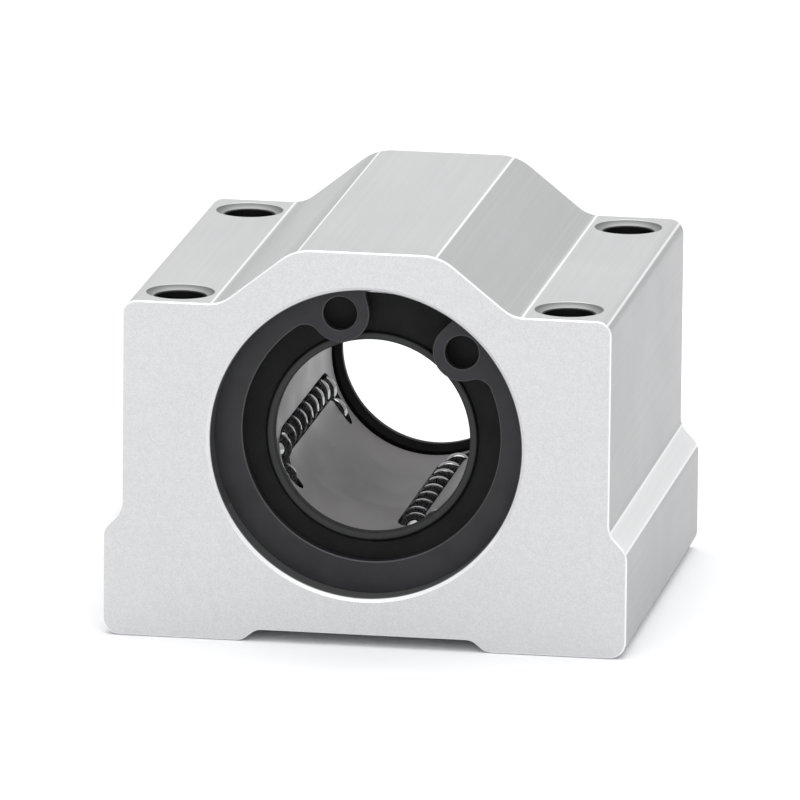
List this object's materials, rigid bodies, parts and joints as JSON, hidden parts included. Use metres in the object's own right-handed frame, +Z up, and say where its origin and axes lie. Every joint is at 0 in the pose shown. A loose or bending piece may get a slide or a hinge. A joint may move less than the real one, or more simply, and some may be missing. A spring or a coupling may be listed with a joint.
{
  "type": "linear bearing block",
  "caption": "Extruded aluminium pillow block holding a recirculating ball bushing for a round shaft, with end seals, snap rings and mounting holes in its shoulders.",
  "frame": {"origin": "on the mounting face, under the middle of the bore", "axes": "+X across the block, +Y along the shaft from the front end to the rear, +Z up from the mounting face"},
  "size_m": [0.054, 0.05, 0.041],
  "materials": {
    "housing_aluminium": "extruded, sand-blasted ends, clear anodised",
    "sleeve_steel": "ground bearing steel",
    "cage_resin": "grey moulded resin, satin",
    "seal_rubber": "black rubber",
    "ring_steel": "dark phosphated spring steel",
    "ball_steel": "polished bearing steel"
  },
  "bodies": {
    "block": {"housing": "housing_aluminium", "bearing_sleeve": "sleeve_steel", "ball_cage": "cage_resin", "front_seal": "seal_rubber", "rear_seal": "seal_rubber", "front_retaining_ring": "ring_steel", "rear_retaining_ring": "ring_steel"},
    "loaded_row_1": {"loaded_balls_1": "ball_steel"},
    "return_row_1": {"return_balls_1": "ball_steel"},
    "front_turn_1": {"front_turn_balls_1": "ball_steel"},
    "rear_turn_1": {"rear_turn_balls_1": "ball_steel"},
    "loaded_row_2": {"loaded_balls_2": "ball_steel"},
    "return_row_2": {"return_balls_2": "ball_steel"},
    "front_turn_2": {"front_turn_balls_2": "ball_steel"},
    "rear_turn_2": {"rear_turn_balls_2": "ball_steel"},
    "loaded_row_3": {"loaded_balls_3": "ball_steel"},
    "return_row_3": {"return_balls_3": "ball_steel"},
    "front_turn_3": {"front_turn_balls_3": "ball_steel"},
    "rear_turn_3": {"rear_turn_balls_3": "ball_steel"},
    "loaded_row_4": {"loaded_balls_4": "ball_steel"},
    "return_row_4": {"return_balls_4": "ball_steel"},
    "front_turn_4": {"front_turn_balls_4": "ball_steel"},
    "rear_turn_4": {"rear_turn_balls_4": "ball_steel"}
  },
  "joints": [
    {"name": "loaded_row_1_slide", "type": "slide", "parent": "block", "child": "loaded_row_1", "axis": [0, 1, 0], "range_m": [-0.00169, 0.00169]},
    {"name": "return_row_1_slide", "type": "slide", "parent": "block", "child": "return_row_1", "axis": [0, 1, 0], "range_m": [-0.0017, 0.0017]},
    {"name": "front_turn_1_swing", "type": "hinge", "parent": "block", "child": "front_turn_1", "pos_m": [0.01022, -0.01193, 0.0271], "axis": [0.9521, 0, 0.3058], "range_deg": [-30, 30]},
    {"name": "rear_turn_1_swing", "type": "hinge", "parent": "block", "child": "rear_turn_1", "pos_m": [0.01022, 0.01193, 0.0271], "axis": [0.9521, 0, 0.3058], "range_deg": [-30, 30]},
    {"name": "loaded_row_2_slide", "type": "slide", "parent": "block", "child": "loaded_row_2", "axis": [0, 1, 0], "range_m": [-0.00169, 0.00169]},
    {"name": "return_row_2_slide", "type": "slide", "parent": "block", "child": "return_row_2", "axis": [0, 1, 0], "range_m": [-0.0017, 0.0017]},
    {"name": "front_turn_2_swing", "type": "hinge", "parent": "block", "child": "front_turn_2", "pos_m": [-0.0061, -0.01193, 0.03122], "axis": [-0.3058, 0, 0.9521], "range_deg": [-30, 30]},
    {"name": "rear_turn_2_swing", "type": "hinge", "parent": "block", "child": "rear_turn_2", "pos_m": [-0.0061, 0.01193, 0.03122], "axis": [-0.3058, 0, 0.9521], "range_deg": [-30, 30]},
    {"name": "loaded_row_3_slide", "type": "slide", "parent": "block", "child": "loaded_row_3", "axis": [0, 1, 0], "range_m": [-0.00169, 0.00169]},
    {"name": "return_row_3_slide", "type": "slide", "parent": "block", "child": "return_row_3", "axis": [0, 1, 0], "range_m": [-0.0017, 0.0017]},
    {"name": "front_turn_3_swing", "type": "hinge", "parent": "block", "child": "front_turn_3", "pos_m": [-0.01022, -0.01193, 0.0149], "axis": [-0.9521, 0, -0.3058], "range_deg": [-30, 30]},
    {"name": "rear_turn_3_swing", "type": "hinge", "parent": "block", "child": "rear_turn_3", "pos_m": [-0.01022, 0.01193, 0.0149], "axis": [-0.9521, 0, -0.3058], "range_deg": [-30, 30]},
    {"name": "loaded_row_4_slide", "type": "slide", "parent": "block", "child": "loaded_row_4", "axis": [0, 1, 0], "range_m": [-0.00169, 0.00169]},
    {"name": "return_row_4_slide", "type": "slide", "parent": "block", "child": "return_row_4", "axis": [0, 1, 0], "range_m": [-0.0017, 0.0017]},
    {"name": "front_turn_4_swing", "type": "hinge", "parent": "block", "child": "front_turn_4", "pos_m": [0.0061, -0.01193, 0.01078], "axis": [0.3058, 0, -0.9521], "range_deg": [-30, 30]},
    {"name": "rear_turn_4_swing", "type": "hinge", "parent": "block", "child": "rear_turn_4", "pos_m": [0.0061, 0.01193, 0.01078], "axis": [0.3058, 0, -0.9521], "range_deg": [-30, 30]}
  ],
  "couplings": [
    {"joint": "return_row_1_slide", "follows": "loaded_row_1_slide", "ratio": -1},
    {"joint": "front_turn_1_swing", "follows": "loaded_row_1_slide", "rad_per_m": 307.22},
    {"joint": "rear_turn_1_swing", "follows": "loaded_row_1_slide", "rad_per_m": 307.22},
    {"joint": "return_row_2_slide", "follows": "loaded_row_2_slide", "ratio": -1},
    {"joint": "front_turn_2_swing", "follows": "loaded_row_2_slide", "rad_per_m": 307.22},
    {"joint": "rear_turn_2_swing", "follows": "loaded_row_2_slide", "rad_per_m": 307.22},
    {"joint": "return_row_3_slide", "follows": "loaded_row_3_slide", "ratio": -1},
    {"joint": "front_turn_3_swing", "follows": "loaded_row_3_slide", "rad_per_m": 307.22},
    {"joint": "rear_turn_3_swing", "follows": "loaded_row_3_slide", "rad_per_m": 307.22},
    {"joint": "return_row_4_slide", "follows": "loaded_row_4_slide", "ratio": -1},
    {"joint": "front_turn_4_swing", "follows": "loaded_row_4_slide", "rad_per_m": 307.22},
    {"joint": "rear_turn_4_swing", "follows": "loaded_row_4_slide", "rad_per_m": 307.22}
  ]
}
